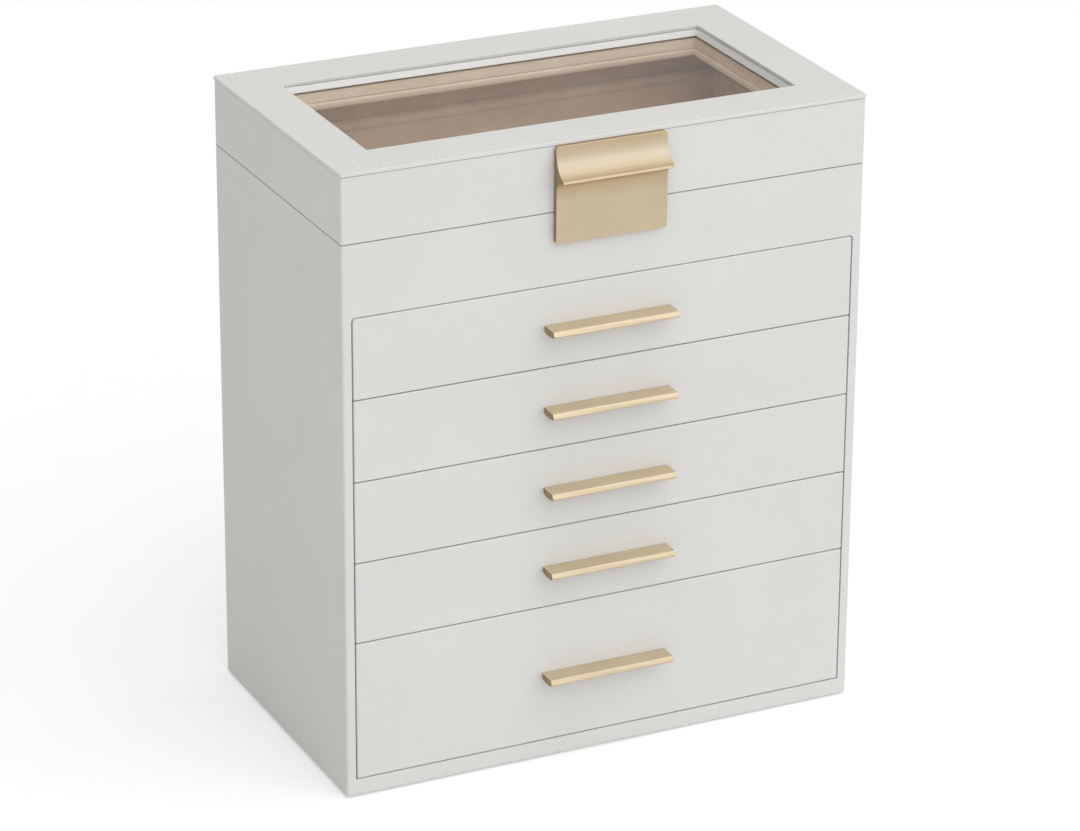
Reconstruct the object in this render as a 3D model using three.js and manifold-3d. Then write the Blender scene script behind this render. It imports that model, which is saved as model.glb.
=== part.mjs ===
// Tabletop jewelry box: a leatherette-wrapped case with a hinged, glazed lid over a lined compartment,
// and five drawers below it. Millimetres, +Z up, front facing -Y, origin at the middle of the underside.
import * as THREE from "three";
import { mergeVertices } from "three/addons/utils/BufferGeometryUtils.js";
import Module from "manifold-3d";

const wasm = await Module();
wasm.setup();

// ---- Driving dimensions -------------------------------------------------------------------------
const WIDTH = 270;
const DEPTH = 153;
const HEIGHT = 315;
const PANEL = 4.6; // wrapped board of the case, the lid walls and the drawer fronts
const GAP = 0.3; // between two pieces that meet
const FELT = 0.9;

const SEAM_Z = 280.5; // where the lid closes on the case
const SEAM_GAP = 0.8;
const HINGE_WALL = 10; // the thicker back wall that holds the hinge leaves
const TOP_SHEET = 1.6; // edge of the lid's top that shows above its walls
const TOP_FRAME = 5.2;
const WINDOW_SIDE = 24.1;
const WINDOW_END = 25.6;
const GLASS = 1.8;
const GLASS_MARGIN = 6;
const RETAINER_BOTTOM_Z = 299.7;

const OPENING_TOP_Z = 244.7;
const OPENING_BOTTOM_Z = 9.2;
const DRAWER_COUNT = 5;
const DRAWER_PITCH = 41.1; // the four small drawers; the last one takes what is left
const FRONT_GAP = 1; // round each drawer front
const SHELF = 2.4;
const TRAY_WALL = 3;
const TRAY_FLOOR = 2;
const TRAY_SIDE_ROOM = 1.5;
const TRAY_TOP_ROOM = 1.5;
const TRAY_BACK_ROOM = 3;
const LINING = 1.2;
const POCKET_WALL = 2;
const POCKET_WALL_DROP = 4; // how far the pocket walls stay below the lining's rim
const POCKETS = [[3, 2], [4, 1], [3, 1], [2, 1], [1, 1]]; // columns and rows in each drawer, from the top

const COMPARTMENT_FLOOR = 3;
const LINER_WALL = 2;
const LINER_FLOOR = 1.5;
const LINER_TOP_Z = 286; // stands above the seam and locates the lid
const LINER_ROOM = 0.8;
const DIVIDER = 3;
const DIVIDER_TOP_Z = 270;
const DIVIDER_Y = 5;
const ROLL_COUNT = 4;
const ROLL_HEIGHT = 19.5;
const ROLL_GAP = 0.5;

const PULL_LENGTH = 65.6;
const PULL_REACH = 10.5;
const PULL_THICKNESS = 2.8;
const PULL_BELLY = 0.7;
const PULL_RISE = 1; // from the middle of the drawer front to the pull's top
const SCREW_SPACING = 48;
const SCREW = { shank: 0.9, head: 1.9, headLength: 1.3, reach: 5, clearance: 0.25 };

const CLASP_WIDTH = 57.2;
const CLASP_TOP_Z = 313;
const CLASP_HEIGHT = 47.4;
const CLASP_PLATE = 3;
const CLASP_REACH = 10.5;
const CLASP_LIP_DROP = 14.5; // from the clasp's top edge to its lip
const CLASP_LIP = 1;
const CLASP_UNDERCUT_DROP = 21.5;
const MAGNET = { z: 272.5, catchRadius: 5, catchLength: 1.8, plateRadius: 4, plateLength: 1.2 };

const HINGE = { x: 80, width: 24, leaf: 0.8, leafDepth: 7.5, knuckle: 2.4, bore: 1.2, pin: 1.1, room: 0.5 };

// ---- Derived places -----------------------------------------------------------------------------
const SIDE_X = WIDTH / 2;
const INNER_X = SIDE_X - PANEL;
const FRONT_Y = -DEPTH / 2;
const BACK_Y = DEPTH / 2;
const INNER_FRONT_Y = FRONT_Y + PANEL;
const INNER_BACK_Y = BACK_Y - PANEL;
const HINGE_WALL_Y = BACK_Y - HINGE_WALL;
const UNDERSIDE_Z = FELT + GAP;
const CASE_TOP_Z = SEAM_Z - SEAM_GAP / 2;
const LID_BOTTOM_Z = SEAM_Z + SEAM_GAP / 2;
const COMPARTMENT_FLOOR_TOP_Z = OPENING_TOP_Z + COMPARTMENT_FLOOR;
const HINGE_AXIS_Y = BACK_Y + HINGE.room + HINGE.knuckle;
const BETWEEN_SIDES = [-INNER_X + GAP, INNER_X - GAP];

// ---- Materials ----------------------------------------------------------------------------------
const material = (color, roughness, metalness = 0) =>
  new THREE.MeshStandardMaterial({ color, roughness, metalness });
const LEATHERETTE = material("#e3e2df", 0.5);
const VELVET = material("#b59d85", 0.95);
const BOARD = material("#c9bcab", 0.8);
const GOLD = material("#cdbc9e", 0.32, 1);
const STEEL = material("#b9bbbd", 0.35, 1);
const WINDOW_GLASS = new THREE.MeshStandardMaterial({
  color: "#e9efee",
  roughness: 0.05,
  transparent: true,
  opacity: 0.35,
});

// ---- Geometry helpers ---------------------------------------------------------------------------
const middle = ([low, high]) => (low + high) / 2;
const span = ([low, high]) => high - low;
const around = (centre, size) => [centre - size / 2, centre + size / 2];

// A box between two limits on each axis.
function block(x, y, z) {
  return new THREE.BoxGeometry(span(x), span(y), span(z)).translate(middle(x), middle(y), middle(z));
}

// A round bar along X or Y, centred on the other two axes.
function bar(axis, radius, [low, high], centre, sides = 16) {
  const geometry = new THREE.CylinderGeometry(radius, radius, high - low, sides);
  if (axis === "x") {
    geometry.rotateZ(Math.PI / 2);
    return geometry.translate(middle([low, high]), centre[0], centre[1]);
  }
  return geometry.translate(centre[0], middle([low, high]), centre[1]);
}

// A section drawn in Y and Z, extruded along X about the middle.
function alongX(section, length) {
  const geometry = new THREE.ExtrudeGeometry(section, { depth: length, bevelEnabled: false, curveSegments: 8 });
  geometry.translate(0, 0, -length / 2);
  const axes = [new THREE.Vector3(0, 1, 0), new THREE.Vector3(0, 0, 1), new THREE.Vector3(1, 0, 0)];
  return geometry.applyMatrix4(new THREE.Matrix4().makeBasis(...axes));
}

function solid(geometry) {
  const bare = geometry.clone();
  bare.deleteAttribute("normal");
  bare.deleteAttribute("uv");
  const merged = mergeVertices(bare, 1e-4);
  const vertProperties = merged.attributes.position.array;
  const triVerts = new Uint32Array(merged.index.array);
  return new wasm.Manifold(new wasm.Mesh({ numProp: 3, vertProperties, triVerts }));
}

function geometryOf(shape) {
  const { numProp, numVert, vertProperties, triVerts } = shape.getMesh();
  const position = new Float32Array(numVert * 3);
  for (let i = 0; i < numVert; i++) {
    position.set(vertProperties.subarray(i * numProp, i * numProp + 3), i * 3);
  }
  const indexed = new THREE.BufferGeometry();
  indexed.setAttribute("position", new THREE.BufferAttribute(position, 3));
  indexed.setIndex(new THREE.BufferAttribute(triVerts, 1));
  const flat = indexed.toNonIndexed();
  flat.computeVertexNormals();
  return flat;
}

const joined = (...geometries) => geometryOf(geometries.map(solid).reduce((a, b) => a.add(b)));
const cut = (geometry, ...tools) =>
  geometryOf(tools.map(solid).reduce((a, b) => a.subtract(b), solid(geometry)));

function piece(name, geometry, look, at = [0, 0, 0]) {
  const mesh = new THREE.Mesh(geometry, look);
  mesh.name = name;
  mesh.position.set(...at);
  return mesh;
}

// ---- Case ---------------------------------------------------------------------------------------
const drawerGapZ = Array.from({ length: DRAWER_COUNT }, (_, i) => OPENING_TOP_Z - DRAWER_PITCH * i);
drawerGapZ.push(OPENING_BOTTOM_Z);
const hingeXs = { left: -HINGE.x, right: HINGE.x };
const LEAF_Y = [BACK_Y - HINGE.leafDepth, HINGE_AXIS_Y];

// The pockets in a wall's edge that take the hinge leaves.
function leafMortises(z) {
  const y = [LEAF_Y[0] - GAP, BACK_Y + GAP];
  return Object.values(hingeXs).map((x) => block(around(x, HINGE.width + 2 * GAP), y, z));
}

function makeCase() {
  const group = new THREE.Group();
  const sideGeometry = new THREE.BoxGeometry(PANEL, DEPTH, CASE_TOP_Z - UNDERSIDE_Z);
  for (const [name, side] of [["left_side_panel", -1], ["right_side_panel", 1]]) {
    const at = [side * (SIDE_X - PANEL / 2), 0, middle([UNDERSIDE_Z, CASE_TOP_Z])];
    group.add(piece(name, sideGeometry, LEATHERETTE, at));
  }

  const felt = new THREE.BoxGeometry(WIDTH - 2 * PANEL, DEPTH - 2 * PANEL, FELT);
  group.add(piece("base_felt", felt, VELVET, [0, 0, FELT / 2]));
  const baseY = [FRONT_Y, INNER_BACK_Y - GAP];
  const base = block(BETWEEN_SIDES, baseY, [UNDERSIDE_Z, OPENING_BOTTOM_Z]);
  group.add(piece("base_panel", base, LEATHERETTE));

  const backSheet = block(BETWEEN_SIDES, [INNER_BACK_Y, BACK_Y], [UNDERSIDE_Z, CASE_TOP_Z]);
  const hingeBatten = block(BETWEEN_SIDES, [HINGE_WALL_Y, BACK_Y], [COMPARTMENT_FLOOR_TOP_Z + GAP, CASE_TOP_Z]);
  const mortiseZ = [CASE_TOP_Z - HINGE.leaf - GAP, CASE_TOP_Z + GAP];
  const back = cut(joined(backSheet, hingeBatten), ...leafMortises(mortiseZ));
  group.add(piece("back_panel", back, LEATHERETTE));

  const rail = block(BETWEEN_SIDES, [FRONT_Y, INNER_FRONT_Y], [OPENING_TOP_Z, CASE_TOP_Z]);
  const pocketY = [INNER_FRONT_Y - MAGNET.catchLength - 2 * GAP, INNER_FRONT_Y + GAP];
  const pocket = bar("y", MAGNET.catchRadius + GAP, pocketY, [0, MAGNET.z]);
  group.add(piece("front_rail", cut(rail, pocket), LEATHERETTE));
  const magnetY = [INNER_FRONT_Y - MAGNET.catchLength - GAP, INNER_FRONT_Y - GAP];
  group.add(piece("catch_magnet", bar("y", MAGNET.catchRadius, magnetY, [0, MAGNET.z]), STEEL));

  const floorY = [INNER_FRONT_Y + GAP, INNER_BACK_Y - GAP];
  const floor = block(BETWEEN_SIDES, floorY, [OPENING_TOP_Z, COMPARTMENT_FLOOR_TOP_Z]);
  group.add(piece("compartment_floor", floor, BOARD));
  const shelf = new THREE.BoxGeometry(span(BETWEEN_SIDES), span(floorY), SHELF);
  for (let i = 1; i < DRAWER_COUNT; i++) {
    group.add(piece(`drawer_shelf_${i}`, shelf, BOARD, [0, middle(floorY), drawerGapZ[i]]));
  }
  return group;
}

// ---- Top compartment ----------------------------------------------------------------------------
const LINER_X = [-INNER_X + LINER_ROOM, INNER_X - LINER_ROOM];
const LINER_Y = [INNER_FRONT_Y + LINER_ROOM, HINGE_WALL_Y - LINER_ROOM];
const LINER_Z = [COMPARTMENT_FLOOR_TOP_Z + GAP, LINER_TOP_Z];
const inset = ([low, high], by) => [low + by, high - by];

// A half-round roll on straight sides, drawn in Y and Z from the middle of its underside.
function rollSection(width, height) {
  const radius = width / 2;
  const section = new THREE.Shape();
  section.moveTo(-radius, 0);
  section.lineTo(radius, 0);
  section.lineTo(radius, height - radius);
  section.absarc(0, height - radius, radius, 0, Math.PI, false);
  section.closePath();
  return section;
}

function makeCompartment() {
  const group = new THREE.Group();
  const hollowX = inset(LINER_X, LINER_WALL);
  const hollowY = inset(LINER_Y, LINER_WALL);
  const hollow = block(hollowX, hollowY, [LINER_Z[0] + LINER_FLOOR, LINER_TOP_Z + GAP]);
  group.add(piece("compartment_liner", cut(block(LINER_X, LINER_Y, LINER_Z), hollow), VELVET));

  const floorZ = LINER_Z[0] + LINER_FLOOR + GAP;
  const dividerZ = [floorZ, DIVIDER_TOP_Z];
  const longDivider = block(inset(hollowX, GAP), around(DIVIDER_Y, DIVIDER), dividerZ);
  const shortDivider = block(around(0, DIVIDER), [hollowY[0] + GAP, DIVIDER_Y], dividerZ);
  group.add(piece("compartment_divider", joined(longDivider, shortDivider), VELVET));

  const bayX = [hollowX[0], -DIVIDER / 2];
  const bayY = [hollowY[0], DIVIDER_Y - DIVIDER / 2];
  const pitch = (span(bayY) - ROLL_GAP) / ROLL_COUNT;
  const roll = alongX(rollSection(pitch - ROLL_GAP, ROLL_HEIGHT), span(bayX) - 2 * ROLL_GAP);
  for (let i = 0; i < ROLL_COUNT; i++) {
    const y = bayY[0] + ROLL_GAP / 2 + pitch * (i + 0.5);
    group.add(piece(`ring_roll_${i + 1}`, roll, VELVET, [middle(bayX), y, floorZ]));
  }
  return group;
}

// ---- Hinges -------------------------------------------------------------------------------------
// Each hinge has a leaf in the case with the two outer knuckles and a leaf in the lid with the middle one.
const KNUCKLE = (HINGE.width - 2 * GAP) / 3;
const AXIS = [HINGE_AXIS_Y, SEAM_Z];

function hingeLeaf(x, z, knuckleStarts) {
  const plate = block(around(x, HINGE.width), [LEAF_Y[0], BACK_Y + GAP], z);
  const knuckles = knuckleStarts.flatMap((start) => {
    const knuckleX = [x + start, x + start + KNUCKLE];
    return [block(knuckleX, LEAF_Y, z), bar("x", HINGE.knuckle, knuckleX, AXIS)];
  });
  const bore = bar("x", HINGE.bore, around(x, HINGE.width + 2), AXIS);
  return cut(joined(plate, ...knuckles), bore);
}

const OUTER_KNUCKLES = [-HINGE.width / 2, HINGE.width / 2 - KNUCKLE];
const MIDDLE_KNUCKLE = [-KNUCKLE / 2];

function makeCaseHinges() {
  const group = new THREE.Group();
  for (const [side, x] of Object.entries(hingeXs)) {
    const leaf = hingeLeaf(x, [CASE_TOP_Z - HINGE.leaf, CASE_TOP_Z], OUTER_KNUCKLES);
    group.add(piece(`${side}_hinge_case_leaf`, leaf, GOLD));
    group.add(piece(`${side}_hinge_pin`, bar("x", HINGE.pin, around(x, HINGE.width), AXIS), GOLD));
  }
  return group;
}

// ---- Lid ----------------------------------------------------------------------------------------
const windowX = [-SIDE_X + WINDOW_SIDE, SIDE_X - WINDOW_SIDE];
const windowY = [FRONT_Y + WINDOW_END, BACK_Y - WINDOW_END];
const TOP_FRAME_Z = HEIGHT - TOP_FRAME;
const TOP_SHEET_Z = HEIGHT - TOP_SHEET;
const LID_HOLLOW_Y = [INNER_FRONT_Y, HINGE_WALL_Y];

// The clasp's section: a plate with a hooked lip that the fingers lift.
function claspSection() {
  const section = new THREE.Shape();
  section.moveTo(0, 0);
  section.lineTo(-CLASP_PLATE * 0.6, 0);
  section.quadraticCurveTo(-CLASP_PLATE, -CLASP_LIP_DROP * 0.8, -CLASP_REACH, -CLASP_LIP_DROP);
  section.lineTo(-CLASP_REACH, -CLASP_LIP_DROP - CLASP_LIP);
  section.quadraticCurveTo(-CLASP_PLATE, -CLASP_LIP_DROP - 2 * CLASP_LIP, -CLASP_PLATE, -CLASP_UNDERCUT_DROP);
  section.lineTo(-CLASP_PLATE, -CLASP_HEIGHT);
  section.lineTo(0, -CLASP_HEIGHT);
  section.closePath();
  return section;
}

function makeLid() {
  const group = new THREE.Group();
  const outerX = [-SIDE_X, SIDE_X];
  const outerY = [FRONT_Y, BACK_Y];
  const insideX = [-INNER_X, INNER_X];
  const wallZ = [LID_BOTTOM_Z, TOP_SHEET_Z - GAP];
  const through = [LID_BOTTOM_Z - GAP, HEIGHT + GAP];

  const mortises = leafMortises([LID_BOTTOM_Z - GAP, LID_BOTTOM_Z + HINGE.leaf + GAP]);
  const walls = cut(block(outerX, outerY, wallZ), block(insideX, LID_HOLLOW_Y, through), ...mortises);
  group.add(piece("lid_wall_ring", walls, LEATHERETTE));

  const plugY = inset(LID_HOLLOW_Y, GAP);
  const windowHole = block(windowX, windowY, through);
  const sheet = block(outerX, outerY, [TOP_SHEET_Z, HEIGHT]);
  const plug = block(BETWEEN_SIDES, plugY, [TOP_FRAME_Z, HEIGHT]);
  group.add(piece("lid_top_frame", cut(joined(sheet, plug), windowHole), LEATHERETTE));

  const glassX = inset(windowX, -GLASS_MARGIN);
  const glassY = inset(windowY, -GLASS_MARGIN);
  const glassZ = [TOP_FRAME_Z - GAP - GLASS, TOP_FRAME_Z - GAP];
  const pane = new THREE.BoxGeometry(span(glassX), span(glassY), GLASS);
  group.add(piece("glass_pane", pane, WINDOW_GLASS, [middle(glassX), middle(glassY), middle(glassZ)]));

  const retainer = block(BETWEEN_SIDES, plugY, [RETAINER_BOTTOM_Z, TOP_FRAME_Z - GAP]);
  const rebate = block(inset(glassX, -GAP), inset(glassY, -GAP), [glassZ[0] - GAP, HEIGHT]);
  group.add(piece("glass_retainer", cut(retainer, windowHole, rebate), VELVET));

  const claspPocketY = [-MAGNET.plateLength - 2 * GAP, GAP];
  const magnetZ = MAGNET.z - CLASP_TOP_Z;
  const claspPocket = bar("y", MAGNET.plateRadius + GAP, claspPocketY, [0, magnetZ]);
  const clasp = cut(alongX(claspSection(), CLASP_WIDTH), claspPocket);
  const claspAt = [0, FRONT_Y - GAP, CLASP_TOP_Z];
  group.add(piece("clasp_pull", clasp, GOLD, claspAt));
  const claspMagnetY = [-MAGNET.plateLength - GAP, -GAP];
  const claspMagnet = bar("y", MAGNET.plateRadius, claspMagnetY, [0, magnetZ]);
  group.add(piece("clasp_magnet", claspMagnet, STEEL, claspAt));

  for (const [side, x] of Object.entries(hingeXs)) {
    const leaf = hingeLeaf(x, [LID_BOTTOM_Z, LID_BOTTOM_Z + HINGE.leaf], MIDDLE_KNUCKLE);
    group.add(piece(`${side}_hinge_lid_leaf`, leaf, GOLD));
  }
  return group;
}

// ---- Drawers ------------------------------------------------------------------------------------
const screwXs = { left: -SCREW_SPACING / 2, right: SCREW_SPACING / 2 };
const SCREW_HEAD_Y = [INNER_FRONT_Y - GAP - SCREW.headLength, INNER_FRONT_Y - GAP];
const SCREW_TIP_Y = FRONT_Y - GAP - SCREW.reach;

// The pull's section, drawn from the back of its top edge: flat above, full below.
function pullSection() {
  const section = new THREE.Shape();
  section.moveTo(0, 0);
  section.lineTo(-PULL_REACH, 0);
  section.lineTo(-PULL_REACH, -PULL_THICKNESS);
  section.quadraticCurveTo(-PULL_REACH / 2, -PULL_THICKNESS - 2 * PULL_BELLY, 0, -PULL_THICKNESS);
  section.closePath();
  return section;
}

// One drawer in a group whose height is the middle of its front.
function makeDrawer(number, [columns, rows], bottomZ, topZ, isLowest) {
  const group = new THREE.Group();
  const middleZ = middle([bottomZ, topZ]);
  group.position.z = middleZ;
  const name = (part) => `drawer_${number}_${part}`;
  const screwZ = PULL_RISE - PULL_THICKNESS / 2;
  const low = bottomZ - middleZ;
  const high = topZ - middleZ;

  const frontX = inset([-INNER_X, INNER_X], FRONT_GAP);
  const frontZ = [low + (isLowest ? FRONT_GAP : FRONT_GAP / 2), high - FRONT_GAP / 2];
  const screwHoles = Object.values(screwXs).flatMap((x) => [
    bar("y", SCREW.shank + SCREW.clearance, [FRONT_Y - GAP, INNER_FRONT_Y], [x, screwZ], 10),
    bar("y", SCREW.head + SCREW.clearance, [SCREW_HEAD_Y[0] - GAP, INNER_FRONT_Y + GAP], [x, screwZ], 10),
  ]);
  const front = cut(block(frontX, [FRONT_Y, INNER_FRONT_Y], frontZ), ...screwHoles);
  group.add(piece(name("front"), front, LEATHERETTE));

  const supportZ = low + (isLowest ? 0 : SHELF / 2) + GAP;
  const roofZ = high - SHELF / 2 - TRAY_TOP_ROOM;
  const trayX = inset([-INNER_X, INNER_X], TRAY_SIDE_ROOM);
  const trayY = [INNER_FRONT_Y + GAP, INNER_BACK_Y - TRAY_BACK_ROOM];
  const trayHollow = block(inset(trayX, TRAY_WALL), inset(trayY, TRAY_WALL), [supportZ + TRAY_FLOOR, roofZ + GAP]);
  group.add(piece(name("tray"), cut(block(trayX, trayY, [supportZ, roofZ]), trayHollow), BOARD));

  const liningX = inset(trayX, TRAY_WALL + GAP);
  const liningY = inset(trayY, TRAY_WALL + GAP);
  const liningZ = [supportZ + TRAY_FLOOR + GAP, roofZ];
  const wellX = inset(liningX, LINING);
  const wellY = inset(liningY, LINING);
  const pocketWidth = (span(wellX) - (columns - 1) * POCKET_WALL) / columns;
  const pocketDepth = (span(wellY) - (rows - 1) * POCKET_WALL) / rows;
  const tools = [block(wellX, wellY, [roofZ - POCKET_WALL_DROP, roofZ + GAP])];
  for (let column = 0; column < columns; column++) {
    for (let row = 0; row < rows; row++) {
      const x = wellX[0] + column * (pocketWidth + POCKET_WALL);
      const y = wellY[0] + row * (pocketDepth + POCKET_WALL);
      tools.push(block([x, x + pocketWidth], [y, y + pocketDepth], [liningZ[0] + LINING, roofZ]));
    }
  }
  group.add(piece(name("lining"), cut(block(liningX, liningY, liningZ), ...tools), VELVET));

  const pullHoles = Object.values(screwXs).map((x) =>
    bar("y", SCREW.shank + SCREW.clearance / 2, [-SCREW.reach - GAP, GAP], [x, -PULL_THICKNESS / 2], 10),
  );
  const pull = cut(alongX(pullSection(), PULL_LENGTH), ...pullHoles);
  group.add(piece(name("handle"), pull, GOLD, [0, FRONT_Y - GAP, PULL_RISE]));

  for (const [side, x] of Object.entries(screwXs)) {
    const shank = bar("y", SCREW.shank, [SCREW_TIP_Y, SCREW_HEAD_Y[1]], [0, 0], 10);
    const head = bar("y", SCREW.head, SCREW_HEAD_Y, [0, 0], 10);
    group.add(piece(name(`handle_screw_${side}`), joined(shank, head), STEEL, [x, 0, screwZ]));
  }
  return group;
}

// ---- Assembly -----------------------------------------------------------------------------------
const jewelryBox = new THREE.Group();
jewelryBox.add(makeCase(), makeCompartment(), makeCaseHinges(), makeLid());
POCKETS.forEach((pockets, i) => {
  const isLowest = i === DRAWER_COUNT - 1;
  jewelryBox.add(makeDrawer(i + 1, pockets, drawerGapZ[i + 1], drawerGapZ[i], isLowest));
});

export default jewelryBox;
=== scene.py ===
"""The looks of a tabletop jewelry box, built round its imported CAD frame: metres, +Z up, the front at -Y."""

import math
import random

import bmesh
import bpy
from mathutils import Matrix, Vector


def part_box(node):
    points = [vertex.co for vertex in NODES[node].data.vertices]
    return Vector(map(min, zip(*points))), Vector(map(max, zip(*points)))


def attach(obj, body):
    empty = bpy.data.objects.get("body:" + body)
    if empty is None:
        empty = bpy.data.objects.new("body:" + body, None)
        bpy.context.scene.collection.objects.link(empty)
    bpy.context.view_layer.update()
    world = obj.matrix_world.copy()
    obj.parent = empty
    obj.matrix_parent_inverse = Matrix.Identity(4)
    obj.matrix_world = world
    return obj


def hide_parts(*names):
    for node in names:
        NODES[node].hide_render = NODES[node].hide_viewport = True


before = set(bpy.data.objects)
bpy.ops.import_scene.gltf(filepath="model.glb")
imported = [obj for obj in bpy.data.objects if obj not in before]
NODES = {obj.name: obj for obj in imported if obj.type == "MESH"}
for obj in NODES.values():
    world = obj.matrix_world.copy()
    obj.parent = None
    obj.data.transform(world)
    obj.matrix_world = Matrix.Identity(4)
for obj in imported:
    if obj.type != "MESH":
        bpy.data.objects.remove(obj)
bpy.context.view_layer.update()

MM = 0.001

# ---- View: the camera's place and lens, and the levels of the light ----------------------------------
CAMERA_AIM = Vector((-1.3, -6.7, 147.6)) * MM
CAMERA_DISTANCE = 2.2071
CAMERA_AZIMUTH = -25.64
CAMERA_ELEVATION = 22.81
CAMERA_ROLL = 0.376
CAMERA_LENS = 150.98
KEY_HEADING = (-0.32, 0.59, -0.76)
KEY_LIGHT = 0.94
KEY_SPREAD = 100.0
SKY_LIGHT = 0.57
SKY_TINT = (1.0, 0.992, 0.97, 1.0)
SOFT_BOX_PLACE = (0.3, -0.8, 1.15)
SOFT_BOX_AIM = (0.0, 0.0, 0.28)
SOFT_BOX_SIDE = 1.7
SOFT_BOX_POWER = 4.0
FLOOR_GLOW = 0.34

# ---- Sizes of the looks, in metres -------------------------------------------------------------------
PAST = 10.0 * MM               # how far a cutting tool runs past what it cuts
WELD_REACH = 0.002 * MM        # vertices closer than this are one
SMALL = 0.3 * MM               # the least gap or rounding that shows
WRAP_EDGE = 1.15 * MM          # rounding of a wrapped board's edges
CORNER = 1.1 * MM              # rounding of the upright corners of case and lid
OPENING_CORNER = 1.9 * MM      # rounding of the drawer bay's upper corners
SEAM_CLOSING = 0.2 * MM        # how far the wrapping closes the seam of case and lid, on each side
BAY_RETURN = 14.0 * MM         # how far the leatherette is turned into the drawer bay
FRONT_EDGE = 1.7 * MM          # rounding of a drawer front's edges
FRONT_GROWTH = 0.23 * MM       # how far the wrapping thickens a drawer front, up and down
FRONT_GROWTH_LEFT = 0.18 * MM
FRONT_GROWTH_RIGHT = 0.48 * MM
FRONT_GROWTH_DOWN = 0.56 * MM  # of the lowest drawer
TOP_SHRINKAGE = 0.09 * MM      # of the highest drawer
SHEET_EDGE = 1.3 * MM          # the sheet is the leatherette-covered board on top of the lid
SHEET_CORNER = 1.3 * MM
SHEET_PROUD = 0.35 * MM        # how far it stands out over the lid's walls
SHEET_GROOVE = 0.2 * MM        # how far the walls stop short of it
SHEET_SEAM = 0.3 * MM          # the gap between it and the window's reveal
REVEAL_SLOPE = 1.4 * MM        # how far the window narrows from the sheet down to the glass
TRIM_SLOPE = 1.2 * MM          # and from the glass down to the trim's bead
GOLD_EDGE = 0.35 * MM
BEAD_EDGE = 0.1 * MM
LID_LINING_EDGE = 0.15 * MM
TRIM_EDGE = 0.12 * MM
SCREW_EDGE = 0.05 * MM
SHARP = 40                     # degrees: an edge that turns by more than this is rounded
STITCH_INSET = 5.0 * MM
STITCH_PITCH = 4.0 * MM

# Rounding of the edges of CAD nodes that are shown as they are
BACK_EDGE = 0.7 * MM
FELT_EDGE = 0.3 * MM
FLOOR_EDGE = 0.3 * MM
SHELF_EDGE = 0.4 * MM
DIVIDER_EDGE = 1.2 * MM
TRAY_EDGE = 0.5 * MM
LINING_EDGE = 0.45 * MM
HINGE_EDGE = 0.18 * MM
STEEL_EDGE = 0.2 * MM
MAGNET_EDGE = 0.15 * MM

random.seed(7)


# ---- Mesh helpers ------------------------------------------------------------------------------------
def rounded_outline(low, high, radii, steps=6):
    """A rectangle's outline, counter-clockwise from its lowest corner, each corner with its own radius."""
    corners = [(low[0], low[1]), (high[0], low[1]), (high[0], high[1]), (low[0], high[1])]
    inward = [(1, 1), (-1, 1), (-1, -1), (1, -1)]
    points = []
    for i, ((cx, cy), (sx, sy), radius) in enumerate(zip(corners, inward, radii)):
        middle = (cx + sx * radius, cy + sy * radius)
        start = math.radians(180 + 90 * i)
        for k in range(steps + 1):
            angle = start + math.radians(90) * k / steps
            x = middle[0] + radius * math.cos(angle)
            y = middle[1] + radius * math.sin(angle)
            points.append((x, y))
    return points


def ring_outline(middle, radius, steps):
    """A circle's outline in two axes."""
    turns = [2 * math.pi * k / steps for k in range(steps)]
    return [(middle[0] + radius * math.cos(a), middle[1] + radius * math.sin(a)) for a in turns]


PLACES = {
    "x": lambda a, b, along: (along, a, b),
    "y": lambda a, b, along: (a, along, b),
    "z": lambda a, b, along: (a, b, along),
}


def prism(outline, start, end, axis):
    """A bmesh of an outline in the two other axes, extruded along one axis."""
    bm = bmesh.new()
    place = PLACES[axis]
    first = [bm.verts.new(place(a, b, start)) for a, b in outline]
    last = [bm.verts.new(place(a, b, end)) for a, b in outline]
    bm.faces.new(first)
    bm.faces.new(list(reversed(last)))
    for i, a in enumerate(first):
        j = (i + 1) % len(first)
        bm.faces.new((a, last[i], last[j], first[j]))
    bmesh.ops.recalc_face_normals(bm, faces=bm.faces)
    return bm


def brick(low, high):
    """A bmesh box between two corners."""
    outline = [(low[0], low[1]), (high[0], low[1]), (high[0], high[1]), (low[0], high[1])]
    return prism(outline, low[2], high[2], "z")


def object_of(name, bm):
    """Turns a bmesh into an object of the scene."""
    mesh = bpy.data.meshes.new(name)
    bm.to_mesh(mesh)
    bm.free()
    obj = bpy.data.objects.new(name, mesh)
    bpy.context.scene.collection.objects.link(obj)
    return obj


def settle(obj):
    """Applies every modifier."""
    bpy.context.view_layer.update()
    depsgraph = bpy.context.evaluated_depsgraph_get()
    mesh = bpy.data.meshes.new_from_object(obj.evaluated_get(depsgraph))
    obj.modifiers.clear()
    obj.data = mesh
    return obj


def combine(obj, operation, *tools):
    """Cuts, joins or intersects an object with bmesh tools, and applies the result."""
    helpers = [object_of("tool", bm) for bm in tools]
    for helper in helpers:
        modifier = obj.modifiers.new("combine", "BOOLEAN")
        modifier.operation = operation
        modifier.solver = "EXACT"
        modifier.object = helper
    settle(obj)
    for helper in helpers:
        bpy.data.objects.remove(helper)
    return obj


def round_edges(obj, width, segments=3, angle=SHARP):
    """Rounds the sharp edges, and shades the flats flat and the rounds round."""
    weld = obj.modifiers.new("weld", "WELD")
    weld.merge_threshold = WELD_REACH
    bevel = obj.modifiers.new("bevel", "BEVEL")
    bevel.width = width
    bevel.segments = segments
    bevel.limit_method = "ANGLE"
    bevel.angle_limit = math.radians(angle)
    bevel.miter_outer = "MITER_ARC"
    bevel.harden_normals = True
    shade_smooth(obj)
    return obj


def shade_smooth(obj):
    """Shades every face smooth."""
    obj.data.polygons.foreach_set("use_smooth", [True] * len(obj.data.polygons))


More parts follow.
